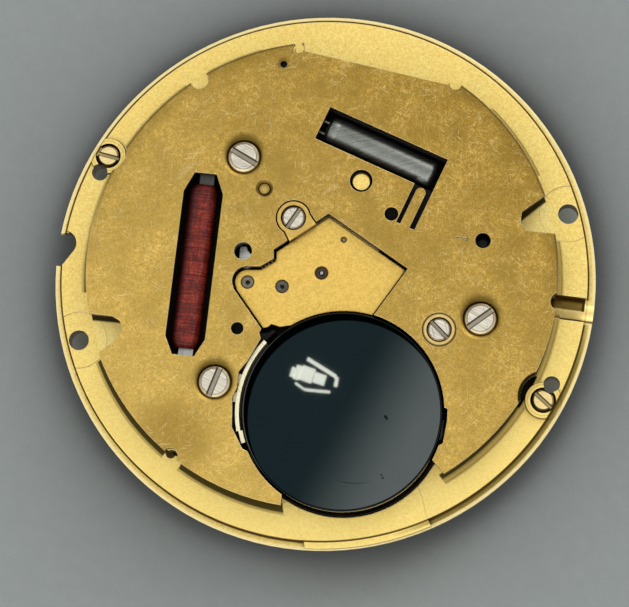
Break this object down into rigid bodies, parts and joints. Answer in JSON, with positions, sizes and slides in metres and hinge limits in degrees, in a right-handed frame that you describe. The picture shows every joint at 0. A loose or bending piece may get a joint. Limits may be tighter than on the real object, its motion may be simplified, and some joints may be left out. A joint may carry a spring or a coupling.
{
  "type": "analogue quartz watch movement",
  "caption": "Gilt analogue quartz watch movement with button cell, drive coil, crystal can, train bridge, setting works, date ring and hand posts.",
  "frame": {"origin": "the hands' axis in the dial plane", "axes": "+Z out of the dial plane towards the battery side, +X along the stem towards three o'clock as seen from the battery side, +Y to the side opposite the battery"},
  "size_m": [0.026, 0.026, 0.0035],
  "materials": {
    "plate_gilt": "sandblasted gilt",
    "cover_gilt": "dull gilt, handled and scratched",
    "bridge_gilt": "fine satin gilt",
    "screw_steel": "polished, with light scratches",
    "screw_gilt": "gilt",
    "contact_gilt": "bright gilt spring strip",
    "jewel": "polished synthetic ruby, dark in its setting",
    "coil_wire": "red enamelled wire",
    "core_steel": "grey soft magnetic alloy",
    "stator_steel": "bright soft magnetic alloy",
    "magnet": "ground sintered magnet",
    "pinion_steel": "polished",
    "train_brass": "gilt",
    "carrier_black": "moulded",
    "board_lacquer": "dark solder resist",
    "chip_black": "potting compound",
    "crystal_steel": "dull drawn can",
    "lead_tin": "tinned wire",
    "cell_steel": "polished can",
    "cell_cap_steel": "satin",
    "gasket_nylon": "moulded",
    "works_steel": "grained",
    "date_white": "white lacquer with black figures"
  },
  "bodies": {
    "movement": {"main_plate": "plate_gilt", "calendar_plate": "plate_gilt", "calendar_screws": "screw_steel", "date_jumper": "works_steel", "train_bridge": "bridge_gilt", "bearing_jewels": "jewel", "stator": "stator_steel", "coil_core": "core_steel", "coil_winding": "coil_wire", "module_carrier": "carrier_black", "circuit_board": "board_lacquer", "circuit_chip": "chip_black", "quartz_crystal": "crystal_steel", "quartz_leads": "lead_tin", "module_cover": "cover_gilt", "cover_screws": "screw_steel", "bridge_screw": "screw_steel", "contact_screw": "screw_steel", "contact_bush": "screw_gilt", "battery_insulator": "carrier_black", "battery_contact_plus": "contact_gilt", "battery_contact_minus": "contact_gilt"},
    "battery": {"battery_can": "cell_steel", "battery_cap": "cell_cap_steel", "battery_gasket": "gasket_nylon"},
    "seconds": {"seconds_wheel": "train_brass", "seconds_pinion": "pinion_steel"},
    "rotor": {"rotor_magnet": "magnet", "rotor_pinion": "pinion_steel"},
    "intermediate": {"intermediate_wheel": "train_brass", "intermediate_pinion": "pinion_steel"},
    "third": {"third_wheel": "train_brass", "third_pinion": "pinion_steel"},
    "centre": {"centre_wheel": "train_brass", "centre_pipe": "pinion_steel"},
    "cannon": {"cannon_pinion": "pinion_steel"},
    "minute_works": {"minute_wheel": "train_brass", "minute_pinion": "pinion_steel"},
    "hour": {"hour_wheel": "train_brass"},
    "setting": {"setting_wheel": "works_steel"},
    "date_idle": {"date_idler": "train_brass"},
    "date_drive": {"date_wheel": "train_brass"},
    "date": {"date_ring": "date_white"},
    "lever": {"setting_lever": "works_steel"},
    "yoke": {"yoke": "works_steel"},
    "sleeve": {"sliding_pinion": "works_steel"},
    "release": {"release_pin": "works_steel"},
    "foot_screw_left": {"dial_foot_screw_left": "screw_gilt"},
    "foot_screw_right": {"dial_foot_screw_right": "screw_gilt"}
  },
  "joints": [
    {"name": "seconds_spin", "type": "hinge", "parent": "movement", "child": "seconds", "pos_m": [0, 0, 0], "axis": [0, 0, 1], "continuous": true},
    {"name": "rotor_spin", "type": "hinge", "parent": "movement", "child": "rotor", "pos_m": [-0.00343, -0.00088, 0], "axis": [0, 0, 1], "continuous": true},
    {"name": "intermediate_spin", "type": "hinge", "parent": "movement", "child": "intermediate", "pos_m": [-0.00177, -0.00088, 0], "axis": [0, 0, 1], "continuous": true},
    {"name": "third_spin", "type": "hinge", "parent": "movement", "child": "third", "pos_m": [0.00083, 0.00172, 0], "axis": [0, 0, 1], "continuous": true},
    {"name": "centre_spin", "type": "hinge", "parent": "movement", "child": "centre", "pos_m": [0, 0, 0], "axis": [0, 0, 1], "continuous": true},
    {"name": "cannon_spin", "type": "hinge", "parent": "movement", "child": "cannon", "pos_m": [0, 0, 0], "axis": [0, 0, 1], "continuous": true},
    {"name": "minute_wheel_spin", "type": "hinge", "parent": "movement", "child": "minute_works", "pos_m": [0.00226, 0.00081, 0], "axis": [0, 0, 1], "continuous": true},
    {"name": "hour_spin", "type": "hinge", "parent": "movement", "child": "hour", "pos_m": [0, 0, 0], "axis": [0, 0, 1], "continuous": true},
    {"name": "setting_wheel_spin", "type": "hinge", "parent": "movement", "child": "setting", "pos_m": [0.00515, 0, 0], "axis": [0, 0, 1], "continuous": true},
    {"name": "date_idler_spin", "type": "hinge", "parent": "movement", "child": "date_idle", "pos_m": [-0.00187, 0.00187, 0], "axis": [0, 0, 1], "continuous": true},
    {"name": "date_wheel_spin", "type": "hinge", "parent": "movement", "child": "date_drive", "pos_m": [-0.00441, 0.00441, 0], "axis": [0, 0, 1], "continuous": true},
    {"name": "date_ring_spin", "type": "hinge", "parent": "movement", "child": "date", "pos_m": [0, 0, 0], "axis": [0, 0, 1], "continuous": true},
    {"name": "setting_lever_swing", "type": "hinge", "parent": "movement", "child": "lever", "pos_m": [0.00739, 0.00244, 0], "axis": [0, 0, 1], "range_deg": [0, 13.2]},
    {"name": "yoke_swing", "type": "hinge", "parent": "movement", "child": "yoke", "pos_m": [0.0066, 0.003, 0], "axis": [0, 0, 1], "range_deg": [-7.2, 0]},
    {"name": "sleeve_slide", "type": "slide", "parent": "movement", "child": "sleeve", "axis": [-1, 0, 0], "range_m": [0, 0.0003]},
    {"name": "release_press", "type": "slide", "parent": "movement", "child": "release", "axis": [0, 0, -1], "range_m": [0, 0.0002], "stiffness_N_per_m": 200, "springref_m": -0.0001},
    {"name": "battery_lift", "type": "slide", "parent": "movement", "child": "battery", "axis": [0, 0, 1], "range_m": [0, 0.003]},
    {"name": "foot_screw_left_turn", "type": "hinge", "parent": "movement", "child": "foot_screw_left", "pos_m": [-0.01114, 0.00455, 0], "axis": [0, 0, 1], "range_deg": [0, 180]},
    {"name": "foot_screw_right_turn", "type": "hinge", "parent": "movement", "child": "foot_screw_right", "pos_m": [0.01114, -0.00455, 0], "axis": [0, 0, 1], "range_deg": [0, 180]}
  ],
  "couplings": [
    {"joint": "rotor_spin", "follows": "seconds_spin", "ratio": 30},
    {"joint": "intermediate_spin", "follows": "seconds_spin", "ratio": -5},
    {"joint": "third_spin", "follows": "seconds_spin", "ratio": -0.13333},
    {"joint": "centre_spin", "follows": "seconds_spin", "ratio": 0.016667},
    {"joint": "minute_wheel_spin", "follows": "cannon_spin", "ratio": -0.33333},
    {"joint": "hour_spin", "follows": "cannon_spin", "ratio": 0.083333},
    {"joint": "setting_wheel_spin", "follows": "cannon_spin", "ratio": 0.5},
    {"joint": "date_idler_spin", "follows": "cannon_spin", "ratio": -0.047619},
    {"joint": "date_wheel_spin", "follows": "cannon_spin", "ratio": 0.041667},
    {"joint": "setting_lever_swing", "follows": "sleeve_slide", "rad_per_m": 756.31},
    {"joint": "yoke_swing", "follows": "sleeve_slide", "rad_per_m": -413.06}
  ]
}
